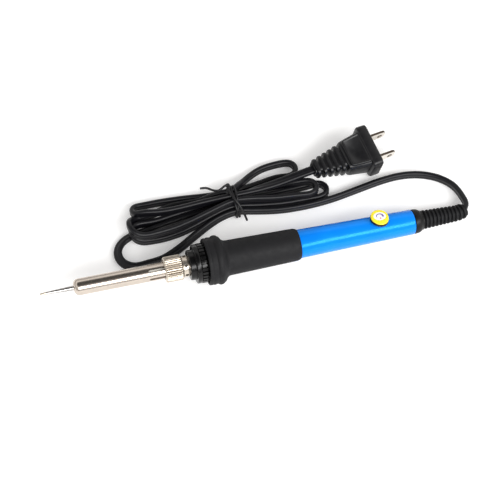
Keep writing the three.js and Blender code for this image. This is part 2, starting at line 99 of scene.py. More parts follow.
def make_camera():
    azimuth, elevation = math.radians(CAMERA_AZIMUTH), math.radians(CAMERA_ELEVATION)
    back = Vector((
        math.sin(azimuth) * math.cos(elevation),
        -math.cos(azimuth) * math.cos(elevation),
        math.sin(elevation),
    ))
    data = bpy.data.cameras.new("camera")
    data.lens = CAMERA_LENS
    data.sensor_width = 36
    data.clip_start, data.clip_end = 0.01, 20
    camera = bpy.data.objects.new("camera", data)
    camera.location = CAMERA_AT
    camera.rotation_mode = "QUATERNION"
    camera.rotation_quaternion = (-back).to_track_quat("-Z", "Y")
    scene.collection.objects.link(camera)
    scene.camera = camera


make_camera()


# ---------------------------------------------------------------- mesh helpers
SHARP_DEGREES = 35  # edges that turn more than this are shaded as sharp


def face_outward(mesh):
    bm = bmesh.new()
    bm.from_mesh(mesh)
    bmesh.ops.recalc_face_normals(bm, faces=bm.faces)
    bm.to_mesh(mesh)
    bm.free()


def new_object(name, vertices, faces, material, body, sharp=SHARP_DEGREES):
    """A piece that rides on a body. Its vertices are in metres, in the scene's own frame."""
    mesh = bpy.data.meshes.new(name)
    mesh.from_pydata([tuple(v) for v in vertices], [], faces)
    mesh.validate()
    face_outward(mesh)
    mesh.shade_smooth()
    mesh.set_sharp_from_angle(angle=math.radians(sharp))
    piece = bpy.data.objects.new(name, mesh)
    scene.collection.objects.link(piece)
    mesh.materials.append(material)
    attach(piece, body)
    return piece


def rings_to_faces(rings, count, closed_loop=False):
    """Quads between rings of count vertices, and one face at each end unless the rings close."""
    faces = []
    spans = rings if closed_loop else rings - 1
    for i in range(spans):
        a, b = i * count, ((i + 1) % rings) * count
        for j in range(count):
            k = (j + 1) % count
            faces.append((a + j, b + j, b + k, a + k))
    if not closed_loop:
        faces.append(tuple(range(count)))
        faces.append(tuple(reversed(range((rings - 1) * count, rings * count))))
    return faces


def turned(name, profile, sides, material, body, wave=None, closed_loop=True, sharp=SHARP_DEGREES):
    """A solid turned about the iron's axis, from a profile of (station, radius) in millimetres.

    A wave adds to the radius: it is a function of the station, the radius and the angle.
    """
    vertices = []
    for station, radius in profile:
        for i in range(sides):
            angle = TURN * i / sides
            r = radius + (wave(station, radius, angle) if wave else 0)
            point = Vector((station, r * math.sin(angle), r * math.cos(angle)))
            vertices.append(IRON @ (point * MM))
    faces = rings_to_faces(len(profile), sides, closed_loop)
    return new_object(name, vertices, faces, material, body, sharp)


def arc(station, radius, size, start, end, steps):
    """Points of a circular arc in a profile, its angles in degrees from the station axis."""
    points = []
    for i in range(steps + 1):
        angle = math.radians(start + (end - start) * i / steps)
        points.append((station + size * math.cos(angle), radius + size * math.sin(angle)))
    return points


def smoothed(points, passes):
    """The points after some passes of a light average, with both ends kept."""
    points = [Vector(p) for p in points]
    for _ in range(passes):
        moved = [p.copy() for p in points]
        for i in range(1, len(points) - 1):
            moved[i] = points[i] * 0.5 + (points[i - 1] + points[i + 1]) * 0.25
        points = moved
    return points


def resampled(points, step, values=None):
    """Points an equal step apart along the line, and the values that go with them if there are any."""
    lengths = [0]
    for a, b in zip(points, points[1:]):
        lengths.append(lengths[-1] + (b - a).length)
    count = max(2, round(lengths[-1] / step))
    out, out_values, j = [], [], 0
    for i in range(count + 1):
        want = lengths[-1] * i / count
        while j < len(points) - 2 and lengths[j + 1] < want:
            j += 1
        span = lengths[j + 1] - lengths[j]
        share = (want - lengths[j]) / span if span else 0
        out.append(points[j].lerp(points[j + 1], share))
        if values:
            out_values.append(values[j] + (values[j + 1] - values[j]) * share)
    return (out, out_values) if values else out


def catmull(points, per_span=8):
    """A smooth curve through the points."""
    points = [Vector(p) for p in points]
    padded = [points[0] * 2 - points[1], *points, points[-1] * 2 - points[-2]]
    out = []
    for i in range(1, len(padded) - 2):
        p0, p1, p2, p3 = padded[i - 1 : i + 3]
        for step in range(per_span):
            t = step / per_span
            out.append(0.5 * (
                2 * p1 + (p2 - p0) * t + (2 * p0 - 5 * p1 + 4 * p2 - p3) * t * t
                + (3 * p1 - p0 - 3 * p2 + p3) * t ** 3
            ))
    out.append(points[-1])
    return out


def centripetal(points, per_span=10):
    """A curve through unevenly spaced points, which doesn't overshoot: a list of points for each span."""
    padded = [points[0] * 2 - points[1], *points, points[-1] * 2 - points[-2]]
    spans = []
    for i in range(1, len(padded) - 2):
        p0, p1, p2, p3 = padded[i - 1 : i + 3]
        t1 = math.sqrt((p1 - p0).length)
        t2 = t1 + math.sqrt((p2 - p1).length)
        t3 = t2 + math.sqrt((p3 - p2).length)
        span = []
        for step in range(per_span):
            t = t1 + (t2 - t1) * step / per_span
            a1 = p0.lerp(p1, t / t1)
            a2 = p1.lerp(p2, (t - t1) / (t2 - t1))
            a3 = p2.lerp(p3, (t - t2) / (t3 - t2))
            b1 = a1.lerp(a2, t / t2)
            b2 = a2.lerp(a3, (t - t1) / (t3 - t1))
            span.append(b1.lerp(b2, (t - t1) / (t2 - t1)))
        spans.append(span)
    return spans


def smoothstep(x):
    """Rises smoothly from 0 to 1 while x does."""
    x = min(1, max(0, x))
    return x * x * (3 - 2 * x)


def tube(name, path, section, material, body, roll=None, sharp=50):
    """A section swept along a path. The section's first axis stays as near upright as it can."""
    vertices = []
    last = len(path) - 1
    for i, point in enumerate(path):
        tangent = (path[min(last, i + 1)] - path[max(0, i - 1)]).normalized()
        side = tangent.cross(Z)
        if side.length < 1e-4:
            side = Y
        side = side.normalized()
        up = side.cross(tangent).normalized()
        turn = roll(i / last) if roll else 0
        spin = Matrix.Rotation(turn, 3, tangent)
        for u, v in section:
            vertices.append(point + spin @ (up * u + side * v) * MM)
    faces = rings_to_faces(len(path), len(section))
    return new_object(name, vertices, faces, material, body, sharp)


def circle(radius, sides, centre=(0, 0)):
    """The outline of a circle, as pairs."""
    angles = [TURN * i / sides for i in range(sides)]
    return [(centre[0] + radius * math.cos(a), centre[1] + radius * math.sin(a)) for a in angles]


def rounded_rect(width, height, corner, per_corner=5):
    """The outline of a rectangle with round corners, as (across, up) pairs."""
    points = []
    for k, (sx, sy) in enumerate([(1, 1), (-1, 1), (-1, -1), (1, -1)]):
        for i in range(per_corner + 1):
            angle = math.radians(90 * k + 90 * i / per_corner)
            points.append((
                sx * (width / 2 - corner) + corner * math.cos(angle),
                sy * (height / 2 - corner) + corner * math.sin(angle),
            ))
    return points


def cut_with(piece, cutters):
    """Cuts the cutters out of the piece and deletes them."""
    bpy.context.view_layer.objects.active = piece
    for cutter in cutters:
        modifier = piece.modifiers.new("cut", "BOOLEAN")
        modifier.operation = "DIFFERENCE"
        modifier.solver = "EXACT"
        modifier.object = cutter
        with bpy.context.temp_override(object=piece, active_object=piece):
            bpy.ops.object.modifier_apply(modifier=modifier.name)
        mesh = cutter.data
        bpy.data.objects.remove(cutter)
        bpy.data.meshes.remove(mesh)
    piece.data.shade_smooth()
    piece.data.set_sharp_from_angle(angle=math.radians(SHARP_DEGREES))


def prism(outline, low, high, place):
    """Vertices and faces of an outline in the place's XY plane raised from one height to another."""
    count = len(outline)
    vertices = [place @ (Vector((x, y, h)) * MM) for h in (low, high) for x, y in outline]
    faces = [(i, (i + 1) % count, count + (i + 1) % count, count + i) for i in range(count)]
    faces += [tuple(range(count)), tuple(range(count, 2 * count))]
    return vertices, faces


def prism_cutter(outline, low, high, place):
    """A prism for cut_with, which deletes it once it has cut."""
    vertices, faces = prism(outline, low, high, place)
    mesh = bpy.data.meshes.new("cutter")
    mesh.from_pydata([tuple(v) for v in vertices], [], faces)
    face_outward(mesh)
    cutter = bpy.data.objects.new("cutter", mesh)
    scene.collection.objects.link(cutter)
    return cutter


# ---------------------------------------------------------------- materials
def set_stops(ramp, stops):
    """Sets a colour ramp's stops, each a (position, colour)."""
    elements = ramp.color_ramp.elements
    while len(elements) < len(stops):
        elements.new(0.5)
    for element, (position, colour) in zip(elements, stops):
        element.position = position
        element.color = (*colour, 1)


class Shader:
    """A material's node tree, with short calls for the nodes used here."""

    def __init__(self, name, colour, rough, metallic=0.0):
        self.material = bpy.data.materials.new(name)
        self.material.use_nodes = True
        self.tree = self.material.node_tree
        self.surface = self.tree.nodes["Principled BSDF"]
        self.set(**{"Base Color": (*colour, 1), "Roughness": rough, "Metallic": metallic})
        self.place = self.node("ShaderNodeTexCoord").outputs["Object"]

    def set(self, **values):
        for key, value in values.items():
            self.surface.inputs[key].default_value = value

    def node(self, kind, **values):
        made = self.tree.nodes.new(kind)
        for key, value in values.items():
            setattr(made, key, value)
        return made

    def link(self, a, b):
        self.tree.links.new(a, b)

    def scaled(self, scale):
        mapping = self.node("ShaderNodeMapping")
        mapping.inputs["Scale"].default_value = scale
        self.link(self.place, mapping.inputs["Vector"])
        return mapping.outputs["Vector"]

    def noise(self, scale, detail=4.0, stretch=(1, 1, 1), distortion=0.0):
        made = self.node("ShaderNodeTexNoise")
        made.inputs["Scale"].default_value = scale
        made.inputs["Detail"].default_value = detail
        made.inputs["Distortion"].default_value = distortion
        self.link(self.scaled(stretch), made.inputs["Vector"])
        return made.outputs["Fac"]

    def ramp(self, value, stops):
        made = self.node("ShaderNodeValToRGB")
        set_stops(made, stops)
        self.link(value, made.inputs["Fac"])
        return made.outputs["Color"]

    def span(self, value, low, high, start=0.3, end=0.7):
        """The value's stretch from start to end, mapped to low up to high."""
        made = self.node("ShaderNodeMapRange")
        made.inputs["From Min"].default_value = start
        made.inputs["From Max"].default_value = end
        made.inputs["To Min"].default_value = low
        made.inputs["To Max"].default_value = high
        self.link(value, made.inputs["Value"])
        return made.outputs["Result"]

    def mix(self, factor, a, b):
        """A blend of a and b, each an output or a colour."""
        made = self.node("ShaderNodeMix", data_type="RGBA")
        for socket, value in ((made.inputs["A"], a), (made.inputs["B"], b)):
            if isinstance(value, tuple):
                socket.default_value = (*value, 1)
            else:
                self.link(value, socket)
        self.link(factor, made.inputs["Factor"])
        return made.outputs["Result"]

    def colour(self, output):
        self.link(output, self.surface.inputs["Base Color"])

    def rough(self, output):
        self.link(output, self.surface.inputs["Roughness"])

    def bump(self, *heights):
        """Stacked bumps, each an (output, strength, distance)."""
        normal = None
        for output, strength, distance in heights:
            made = self.node("ShaderNodeBump")
            made.inputs["Strength"].default_value = strength
            made.inputs["Distance"].default_value = distance
            self.link(output, made.inputs["Height"])
            if normal:
                self.link(normal, made.inputs["Normal"])
            normal = made.outputs["Normal"]
        self.link(normal, self.surface.inputs["Normal"])


def plastic(name, colour, rough, grain=900, spread=0.12, depth=0.00003, specular=0.5):
    """A moulded plastic or rubber: slight mottling, uneven gloss and a fine grain."""
    made = Shader(name, colour, rough)
    made.set(**{"Specular IOR Level": specular})
    mottle = made.noise(260, 4)
    light = tuple(min(1, c * (1 + spread)) for c in colour)
    dark = tuple(c * (1 - spread) for c in colour)
    made.colour(made.ramp(mottle, [(0.3, dark), (0.7, light)]))
    made.rough(made.span(made.noise(420, 5), rough * 0.9, min(1, rough * 1.12)))
    made.bump((made.noise(grain, 3), 0.25, depth), (made.noise(60, 2), 0.06, 0.0002))
    return made.material


def scratched_metal(name, colour, rough, spread=0.08):
    """A plated or drawn metal with fine lines along one way and faint stains."""
    made = Shader(name, colour, rough, 1.0)
    stain = made.noise(140, 5, distortion=0.6)
    stained = tuple(c * (1 - spread) for c in colour)
    made.colour(made.ramp(stain, [(0.35, colour), (0.75, stained)]))
    lines = made.noise(2600, 2, stretch=(0.15, 1, 1))
    made.rough(made.span(lines, rough * 0.88, rough * 1.2))
    made.bump((lines, 0.05, 0.00001), (made.noise(90, 2), 0.03, 0.0002))
    return made.material


black_plastic = plastic("black_plastic", (0.006, 0.006, 0.007), 0.34, grain=1400, specular=0.34)
grip_rubber = plastic("grip_rubber", (0.0075, 0.0075, 0.0085), 0.62, grain=2400, depth=0.00005, specular=0.2)
base_plastic = plastic("base_plastic", (0.0028, 0.0028, 0.003), 0.22, grain=1400, specular=0.26)
cord_sheath = plastic("cord_sheath", (0.004, 0.004, 0.0055), 0.36, grain=1300, specular=0.27)
plug_vinyl = plastic("plug_vinyl", (0.0045, 0.0045, 0.0055), 0.36, grain=1500, depth=0.00004, specular=0.42)
tie_plastic = plastic("tie_plastic", (0.005, 0.005, 0.006), 0.4, grain=1200, specular=0.34)
yellow_plastic = plastic("yellow_plastic", (1.0, 0.78, 0.015), 0.34, spread=0.04)
label_white = plastic("label_white", (0.88, 0.88, 0.86), 0.42, spread=0.03)
ink_dark = plastic("ink_dark", (0.05, 0.04, 0.02), 0.5)
ink_red = plastic("ink_red", (0.70, 0.05, 0.03), 0.5)
ink_violet = plastic("ink_violet", (0.16, 0.11, 0.34), 0.5)
cap_plastic = plastic("cap_plastic", (0.004, 0.0038, 0.0038), 0.42, grain=1400, specular=0.22)
barrel_plate = scratched_metal("barrel_plate", (0.60, 0.53, 0.465), 0.2)
nut_nickel = scratched_metal("nut_nickel", (0.64, 0.575, 0.49), 0.3)
# A darker metal for the nut's flute troughs: painted shade in the grooves.
nut_groove_painted_shade = scratched_metal("nut_groove_painted_shade", (0.29, 0.24, 0.19), 0.4)
blade_nickel = scratched_metal("blade_nickel", (0.72, 0.675, 0.61), 0.22)
# A dark metal for the blades' narrow edges: a painted dark reflection.
blade_edge_painted_reflection = scratched_metal("blade_edge_painted_reflection", (0.095, 0.075, 0.06), 0.3)


def make_blue():
    """Glossy lacquer over blue, with a tinted sheen and a faint unevenness."""
    made = Shader("blue_tube", (0.003, 0.19, 0.75), 0.2)
    made.set(**{"Specular IOR Level": 0.75, "Specular Tint": (0.10, 0.62, 1.0, 1)})
    mottle = made.noise(90, 3)
    made.colour(made.ramp(mottle, [(0.3, (0.003, 0.180, 0.72)), (0.7, (0.003, 0.205, 0.78))]))
    made.rough(made.span(made.noise(700, 4, stretch=(0.2, 1, 1)), 0.15, 0.24))
    made.bump((made.noise(45, 2, stretch=(0.3, 1, 1)), 0.05, 0.0003))
    return made.material


def make_tinned():
    """The tip: polished iron plate, with a tinned and slightly oxidised point."""
    made = Shader("tip_metal", (0.55, 0.53, 0.51), 0.16, 1.0)
    position = made.node("ShaderNodeSeparateXYZ")
    made.link(made.place, position.inputs["Vector"])
    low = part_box("tip")[0].x
    tinned_to, plain_from = low + 2.8 * MM, low + 4.2 * MM
    point = made.span(position.outputs["X"], 1.0, 0.0, tinned_to, plain_from)
    stain = made.ramp(made.noise(260, 5), [(0.35, (0.40, 0.385, 0.37)), (0.7, (0.58, 0.56, 0.545))])
    made.colour(made.mix(point, stain, (0.62, 0.54, 0.45)))
    made.rough(made.span(made.noise(900, 4, stretch=(0.3, 1, 1)), 0.10, 0.26))
    made.bump((made.noise(1500, 3, stretch=(0.2, 1, 1)), 0.10, 0.00002))
    return made.material


blue_tube = make_blue()
tip_metal = make_tinned()

# ---------------------------------------------------------------- the cord's route
CORD_WIDTH = 5.0
CORD_THICK = 3.0
CORD_Z = 2.6  # height of its middle where it lies on the table
SECOND_Z = 7.75  # and where it lies on another run
CORD_STEP = 1.4  # between the points of its path
TUCK = 3  # how far each end goes on inside its strain relief
TIE_X = -4
# The runs at the tie, which passes under the lower ones and so lifts them a little.
LOW = [(TIE_X, 33 + 3.2 * i, 3.9) for i in range(5)]
HIGH = [(TIE_X, 36.3 + 3.4 * i, 9.1) for i in range(3)]

RELIEF_START = 205.1
RELIEF_STRAIGHT = 224.1  # the station where its bend starts
RELIEF_BEND_R = 15
RELIEF_BEND = math.radians(22)
RELIEF_LENGTH = RELIEF_STRAIGHT - RELIEF_START + RELIEF_BEND_R * RELIEF_BEND


def relief_at(distance):
    """The strain relief's centreline and its direction, at a distance from its start."""
    straight = RELIEF_STRAIGHT - RELIEF_START
    beyond = max(0, distance - straight)
    angle = min(beyond / RELIEF_BEND_R, RELIEF_BEND)
    s = RELIEF_START + min(distance, straight) + RELIEF_BEND_R * math.sin(angle)
    y = RELIEF_BEND_R * (1 - math.cos(angle))
    past = max(0, beyond - RELIEF_BEND_R * RELIEF_BEND)
    return Vector((s + past * math.cos(angle), y + past * math.sin(angle), 0)), angle


def bend(centre, radius, start, end, heights, leans=(0, 0)):
    """Points round one fold of the hank, with its height before, halfway round and after it."""
    points, count = [], 8
    before, halfway, after = heights
    x, y = centre
    for i in range(count + 1):
        share = i / count
        angle = math.radians(start + (end - start) * share)
        if share < 0.5:
            z = before + (halfway - before) * smoothstep(share * 2)
        else:
            z = halfway + (after - halfway) * smoothstep(share * 2 - 1)
        lean = leans[0] + (leans[1] - leans[0]) * share
        points.append((x + radius * math.cos(angle), y + radius * math.sin(angle), z, lean))
    return points


# A point is (x, y, height, lean): the lean is how far the cord's top edge leans to the right of its
# way, in degrees. The lead follows the frame's own tube.
LEAD = [
    (115.7, 2.1, 5), (116.7, 3.8, 4.8), (117, 6, 4.4), (117, 8.6, 4), (116.8, 11.5, 3.5),
    (116.5, 14.6, 3.1), (115.3, 18.9, 2.8), (112.3, 23.4, CORD_Z), (107.9, 27.3, CORD_Z),
    (102, 30.5, CORD_Z), (94.5, 32.7, CORD_Z), (85.5, 33.4, CORD_Z), (76, 32.6, CORD_Z),
    (67, 31.2, CORD_Z), (58.5, 29.8, CORD_Z),
    (50, 28.5, CORD_Z), (40, 27.7, CORD_Z), (30, 27.7, CORD_Z), (20, 28.5, CORD_Z),
    (12, 29.9, 2.7), (4, 31.6, 3.2), LOW[0],
]
LARGE_LEFT = [  # runs under the other folds, where it lies nearly flat
    (-12, 32.3, 3.3, 8), (-20, 29.6, 2.7, 18), (-31, 23.7, 2.5, 26), (-40, 18.4, 2.5, 26),
    (-50, 14.3, 2.45, 26), *bend((-62.2, 23.0), 9.9, -72, -243, (2.5, 2.3, 1.95), (26, 72)),
    (-61.5, 33.9, 1.9, 76), (-52, 35.1, 2.3, 35), (-36, 36.5, CORD_Z), (-18, 38.2, 3.1), LOW[2],
]
OUTER_RIGHT = [
    (5, 40.5, 3.1), (14, 40.2, CORD_Z), (26, 40, CORD_Z), (36, 40.1, CORD_Z),
    *bend((42.9, 35.7), 4.7, 78, -80, (CORD_Z, CORD_Z, CORD_Z)),
    (37, 31.3, CORD_Z), (22, 32.1, CORD_Z), (8, 34.3, 2.9), LOW[1],
]
MIDDLE_LEFT = [
    (-12, 35.4, 3.3), (-20, 33.3, 2.7), (-30, 29.9, CORD_Z), (-38.5, 27.8, CORD_Z), (-48, 27.0, CORD_Z),
    *bend((-57.0, 33.0), 5.7, -78, -262, (2.9, 5.7, 3.6)),
    (-49, 38.7, CORD_Z), (-36, 40.1, CORD_Z), (-18, 41.7, 3.1), LOW[3],
]
INNER_RIGHT = [  # lies on the outer one
    (6, 43.6, 3.1), (16, 43.5, 2.7), (24, 42.8, 3.9), (30, 41.4, 6.2),
    *bend((36.4, 35.4), 4.9, 78, -80, (7.2, SECOND_Z, SECOND_Z)),
    (29, 31.8, SECOND_Z), (18, 33.0, 7.9), (6, 35.2, 8.6), HIGH[0],
]
UPPER_LEFT = [  # lies on the middle one, and comes down behind it
    (-12, 35.1, 8.6), (-20, 33.1, 8), (-30, 30.4, 7.8), (-38.5, 28.5, SECOND_Z), (-48, 27.7, SECOND_Z),
    *bend((-55.7, 34.7), 7.3, -84, -262, (8, 10.7, 4.0)),
    (-49, 43.6, CORD_Z), (-40, 46, CORD_Z), (-31, 46.1, 2.7), (-22, 45.1, 3.2), (-12, 44.8, 6.6), HIGH[2],
]
REAR_RIGHT = [  # the small open turn behind
    (-1, 46.2, 7.6), (3.6, 50.6, 4.2), (9, 54.8, 2.7), (15.4, 57.6, CORD_Z), (22, 58.6, CORD_Z),
    *bend((30.2, 53.7), 4.9, 88, -84, (CORD_Z, CORD_Z, CORD_Z)),
    (23, 49.8, CORD_Z), (12, 48.3, CORD_Z), (3, 46.8, 3.2), LOW[4],
]
REAR_LEFT = [  # comes back over the others as the tail
    (-10, 46.7, 3.3), (-17, 47.5, 2.7), (-30, 49.3, CORD_Z), (-43.6, 50.5, CORD_Z), (-51, 50.7, CORD_Z),
    *bend((-55.1, 46.6), 4.3, 82, 282, (CORD_Z, 4.8, 8.1)),
    (-49, 41.2, 8), (-42.5, 40.3, SECOND_Z), (-32, 40.1, SECOND_Z), (-24, 40.4, SECOND_Z), (-13, 40.2, 8.3),
    HIGH[1],
]
TAIL = [
    (2, 39.8, 9.4, 30), (11, 40.5, 9.5, 72), (21, 41.4, 9.8, 90), (29, 42.3, 10.5, 94),
    (35.5, 43.1, 11, 99),
]


def cord_route():
    """The whole cord's points and leans, from inside the strain relief to inside the plug's relief."""
    exit_at = IRON @ (relief_at(RELIEF_LENGTH)[0] * MM) / MM
    inside = IRON @ (relief_at(RELIEF_LENGTH - TUCK)[0] * MM) / MM
    plug_end = PLUG @ (Vector((-PLUG_LENGTH, 0, 0)) * MM) / MM
    plug_inside = PLUG @ (Vector((-PLUG_LENGTH + TUCK, 0, 0)) * MM) / MM
    flat = 90 + PLUG_ROLL_DEGREES
    stops = [
        tuple(inside), tuple(exit_at), *LEAD, *LARGE_LEFT, *OUTER_RIGHT, *MIDDLE_LEFT, *INNER_RIGHT,
        *UPPER_LEFT, *REAR_RIGHT, *REAR_LEFT, *TAIL, (*plug_end, flat), (*plug_inside, flat),
    ]
    points = [Vector(stop[:3]) * MM for stop in stops]
    leans = [stop[3] if len(stop) > 3 else 0 for stop in stops]
    fine, fine_leans = [], []
    for i, span in enumerate(centripetal(points)):
        for j, point in enumerate(span):
            fine.append(point)
            fine_leans.append(leans[i] + (leans[i + 1] - leans[i]) * j / len(span))
    fine.append(points[-1])
    fine_leans.append(leans[-1])
    path, path_leans = resampled(fine, CORD_STEP * MM, fine_leans)
    path_leans = [v.x for v in smoothed([Vector((lean, 0, 0)) for lean in path_leans], 12)]
    return smoothed(path, 4), path_leans


CORD_PATH, CORD_LEANS = cord_route()


def cord_section():
    """A flat two-core section: round edges and a shallow valley between the cores."""
    points = []
    half, radius = CORD_WIDTH / 2, CORD_THICK / 2
    core = half - radius
    valley_half, lip_depth, valley_depth = 0.45, 0.10, 0.22
    per_side = 9
    for side in (1, -1):
        for i in range(per_side):
            angle = math.radians(-80 + 160 * i / (per_side - 1))
            points.append((side * (core + radius * math.cos(angle)), side * radius * math.sin(angle)))
        points.append((side * valley_half, side * (radius - lip_depth)))
        points.append((0, side * (radius - valley_depth)))
        points.append((side * -valley_half, side * (radius - lip_depth)))
    return points


def cord_roll(share):
    """The cord's lean in radians, at a share of its length."""
    at = share * (len(CORD_LEANS) - 1)
    return math.radians(CORD_LEANS[round(at)])


def make_cord():
    cord = tube("cord", CORD_PATH, cord_section(), cord_sheath, "root", roll=cord_roll, sharp=70)
    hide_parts("cord_lead", "cord_hank", "cord_tail")
    return cord


cord = make_cord()


# ---------------------------------------------------------------- heating end
def make_tip():
    profile = [
        (0.02, 0.0), (0.06, 0.28), (0.2, 0.46), (0.5, 0.56), (3, 0.72), (8, 0.95), (13, 1.14), (17, 1.28),
        (19.2, 1.36), (19.4, 1.5), (19.4, 3.1), (19.6, 3.25), (42.8, 3.25), (43.6, 3.1), (44, 2.8),
        (44, 2.45), (43.8, 2.35), (26, 2.35), (25.2, 0.0),
    ]
    tip = turned("tip_piece", profile, 64, tip_metal, "tip", closed_loop=False)
    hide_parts("tip")


def slot_outline(start, end, half, steps=6):
    """A round-ended slot's outline along X."""
    points = []
    for centre, first in ((end - half, -90), (start + half, 90)):
        for i in range(steps + 1):
            angle = math.radians(first + 180 * i / steps)
            points.append((centre + half * math.cos(angle), half * math.sin(angle)))
    return points


def make_barrel():
    r, wall = 4.4, 0.5
    slots, first_slot, slot_half = 6, 24, 0.7
    outside = [
        (17.05, 1.6), (17.0, 1.75), *arc(19.8, r - 2.8, 2.8, 178, 90, 16), (40, r), (65.4, r),
        (65.5, r + 0.1), (65.5, 5.3), (65.6, 5.4), (66.4, 5.4), (66.5, 5.3),
    ]
    bore = [
        (66.5, r - wall), (40, r - wall), (20.5, r - wall), (19.2, r - 1.0), (18.2, r - 2.0), (17.6, 1.55),
    ]
    barrel = turned("barrel_piece", outside + bore, 120, barrel_plate, "barrel")
    cutters = []
    for i in range(slots):
        spin = Matrix.Rotation(math.radians(first_slot + 360 / slots * i), 4, "X")
        cutters.append(prism_cutter(slot_outline(55.5, 64.6, slot_half), 3, 6, IRON @ spin))
    cut_with(barrel, cutters)
    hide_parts("barrel")


def make_nut():
    flutes, depth = 36, 0.42
    start, end, r = 63.9, 73.2, 6.7
    fade_length = 0.9

    def flute(station, radius, angle):
        """Straight V flutes with narrow flat crests, fading at both chamfers."""
        if radius < 6.0:
            return 0
        fade = smoothstep((station - start) / fade_length) * smoothstep((end - station) / fade_length)
        wave = abs((angle * flutes / TURN) % 1 - 0.5) * 2
        return -depth * fade * smoothstep(1 - wave * 1.25)

    outside = [(start, 4.85), (start, 5.9), (start + 0.15, 6.15), (start + 0.55, 6.62)]
    outside += [(start + 0.75 + (end - start - 1.5) * i / 12, r) for i in range(13)]
    outside += [(end - 0.55, 6.62), (end - 0.15, 6.15), (end, 5.95)]
    bore = [(end, 5.8), (65.1, 5.8), (65.1, 4.75), (start + 0.1, 4.75)]
    nut = turned("nut_piece", outside + bore, flutes * 10, nut_nickel, "nut", wave=flute, sharp=28)
    # Faces deep in the flutes get the darker metal as painted shade.
    nut.data.materials.append(nut_groove_painted_shade)
    axis = (IRON.to_3x3() @ X).normalized()
    for face in nut.data.polygons:
        arm = face.center - IRON.translation
        in_painted_shade = 6.1 * MM < arm.cross(axis).length < 6.47 * MM
        face.material_index = int(in_painted_shade and (start + 0.6) * MM < arm.dot(axis) < (end - 0.6) * MM)
    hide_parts("retaining_nut")


def make_collar():
    """The collar the nut goes on, with a row of grooves for its thread and a ring of vent holes."""
    holes, hole_station, hole_radius = 6, 74.9, 0.9
    grooves, pitch = 9, 0.65
    outside = [(66.9, 5.3), (67.0, 5.4)]
    for i in range(grooves):
        outside += [(67.3 + i * pitch, 5.4), (67.5 + i * pitch, 5.2), (67.75 + i * pitch, 5.4)]
    outside += [
        (73.4, 5.4), (73.5, 5.5), (73.7, 5.6), (76.2, 5.6), (76.4, 5.5), (76.4, 5.0), (76.5, 4.9), (79, 4.9),
    ]
    collar = turned("collar_piece", outside + [(79, 4.3), (66.9, 4.3)], 96, nut_nickel, "root")
    cutters = []
    hole = circle(hole_radius, 20, (hole_station, 0))
    for i in range(holes):
        spin = Matrix.Rotation(TURN * (2 * i + 1) / (2 * holes), 4, "X")
        cutters.append(prism_cutter(hole, 3.7, 6.7, IRON @ spin))
    cut_with(collar, cutters)
    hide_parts("heater_collar")


def make_base():
    front = [
        (76.7, 5.3), (76.7, 7.4), (76.8, 7.65), (77.05, 7.85), (77.4, 7.9), (79.5, 7.9), (79.7, 7.9),
        (79.8, 8.0), (79.8, 9.9), (79.9, 10.1), (80.1, 10.2), (81.8, 10.2), (82.0, 10.1), (82.1, 9.8),
        (82.1, 9.0), (85.5, 9.0), (85.5, 7.4), (99.6, 7.4), (100, 7.2),
    ]
    bore = [(100, 4.6), (81, 4.6), (81, 2.4), (79.4, 2.4), (79.4, 5.2)]
    base = turned("base_piece", front + bore, 128, base_plastic, "root")
    ribs, slot_depth = 30, 0.95

    def rib(station, radius, angle):
        """Square ribs with narrow slots between them."""
        if radius < 9.2:
            return 0
        wave = abs((angle * ribs / TURN) % 1 - 0.5) * 2
        return -slot_depth * smoothstep((wave - 0.62) / 0.12)

    ring = [(82.2, 9.05), (82.2, 10.1), (82.3, 10.25), (82.5, 10.4), (83.5, 10.4), (85.1, 10.4)]
    ring += [(85.3, 10.3), (85.45, 10.0), (85.45, 9.05)]
    rib_ring = turned("base_ribs", ring, ribs * 16, base_plastic, "root", wave=rib)
    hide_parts("heater_base")


# ---------------------------------------------------------------- handle
def make_grip():
    outside = [
        (86.5, 10.85), (85.95, 10.85), (85.85, 10.95), (85.8, 11.1), (85.8, 11.9), (85.9, 12.15),
        (86.15, 12.3), (86.8, 12.35), (87.3, 12.3), (87.5, 12.2), (87.75, 12.25), (88.3, 12.5),
        *arc(92.1, 10.8, 2.2, 140, 40, 14),
        (94.4, 11.9), (95.0, 11.0), (95.6, 10.2), (96.3, 9.62), (97.1, 9.33), (98.2, 9.22), (100, 9.2),
        (110, 9.03), (122, 8.82), (133.2, 8.62), (134.3, 8.52), (135.1, 8.3), (135.6, 8.05), (135.8, 7.9),
    ]
    bore = [(135.8, 7.75), (110, 7.75), (87.2, 7.75), (86.6, 7.8)]
    grip = turned("grip_piece", outside + bore, 128, grip_rubber, "root")
    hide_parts("grip_sleeve")


def make_handle():
    outside = [
        (103, 6.9), (103.3, 7.3), (103.8, 7.5), (135.9, 7.5), (136.0, 7.55), (136.2, 7.65),
        (150, 7.45), (165, 7.22), (183, 6.95), (193, 6.8), (198.9, 6.72), (199.3, 6.66), (199.5, 6.5),
    ]
    bore = [(199.5, 5.7), (199.3, 5.6), (136, 6.3), (103, 6.3)]
    handle = turned("handle_piece", outside + bore, 128, blue_tube, "root")
    shaft_hole_radius = 2.2
    cut_with(handle, [prism_cutter(circle(shaft_hole_radius, 28), 3, 9, KNOB)])
    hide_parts("handle_tube")


def make_end_cap():
    outside = [
        (194, 5.0), (194.3, 5.2), (199.75, 5.2), (199.8, 5.3), (199.8, 6.4), (199.9, 6.55), (200.2, 6.62),
        (201.3, 6.58), (202.1, 6.5), (202.9, 6.25), (203.6, 5.85), (204.1, 5.45), (204.5, 5.3),
        (205.0, 5.25), (205.1, 5.1),
    ]
    cap = turned("cap_piece", outside + [(205.1, 3.5), (194, 3.5)], 96, cap_plastic, "root")
    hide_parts("end_cap")


